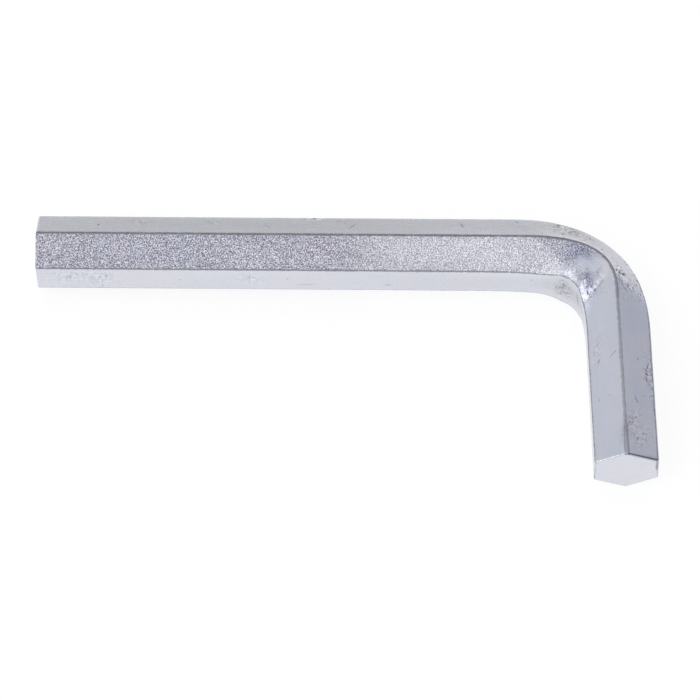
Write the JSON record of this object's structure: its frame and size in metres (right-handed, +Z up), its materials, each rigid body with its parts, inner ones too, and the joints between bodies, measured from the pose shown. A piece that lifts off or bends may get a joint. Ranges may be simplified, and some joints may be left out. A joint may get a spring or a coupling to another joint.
{
  "type": "hex key",
  "caption": "L-shaped hexagon key: a six-sided steel bar bent at one end, for turning socket-head screws with either arm.",
  "frame": {"origin": "middle of the footprint on the table that the key lies on, under its lowest long edge", "axes": "+X along the long arm towards the bend, -Y along the short arm away from the bend, +Z up, square to both arms"},
  "size_m": [0.0788, 0.0358, 0.0091],
  "materials": {
    "zinc_plated_steel": "satin zinc plating, finely granular on the arms and smooth where the bar is bent"
  },
  "bodies": {
    "root": {"hex_key": "zinc_plated_steel"}
  },
  "joints": []
}
